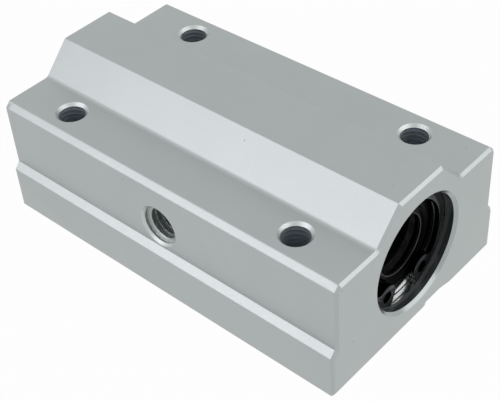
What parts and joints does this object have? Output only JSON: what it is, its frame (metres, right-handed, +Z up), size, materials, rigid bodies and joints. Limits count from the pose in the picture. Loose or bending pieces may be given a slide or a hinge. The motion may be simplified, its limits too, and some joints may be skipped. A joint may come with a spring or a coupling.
{
  "type": "linear bearing pillow block",
  "caption": "Long pillow block that guides a round shaft on recirculating balls, with tapped shoulder holes and a side grease port.",
  "frame": {"origin": "centre of the base face", "axes": "+X along the shaft towards the front end, +Y across the block away from the grease port, +Z up from the base"},
  "size_m": [0.068, 0.04, 0.026],
  "materials": {
    "housing": "satin bead-blasted clear anodised",
    "bearing_steel": "ground",
    "cage_resin": "moulded",
    "balls": "polished",
    "end_ring": "stamped",
    "seal_rubber": "moulded rubber",
    "circlip": "phosphated spring steel",
    "spacer": "turned"
  },
  "bodies": {
    "root": {"housing": "housing", "spacer_ring": "spacer", "front_sleeve": "bearing_steel", "front_ball_cage": "cage_resin", "front_balls_1": "balls", "front_balls_2": "balls", "front_balls_3": "balls", "front_balls_4": "balls", "front_outer_end_ring": "end_ring", "front_outer_seal": "seal_rubber", "front_inner_end_ring": "end_ring", "front_inner_seal": "seal_rubber", "front_circlip": "circlip", "rear_sleeve": "bearing_steel", "rear_ball_cage": "cage_resin", "rear_balls_1": "balls", "rear_balls_2": "balls", "rear_balls_3": "balls", "rear_balls_4": "balls", "rear_outer_end_ring": "end_ring", "rear_outer_seal": "seal_rubber", "rear_inner_end_ring": "end_ring", "rear_inner_seal": "seal_rubber", "rear_circlip": "circlip"}
  },
  "joints": []
}
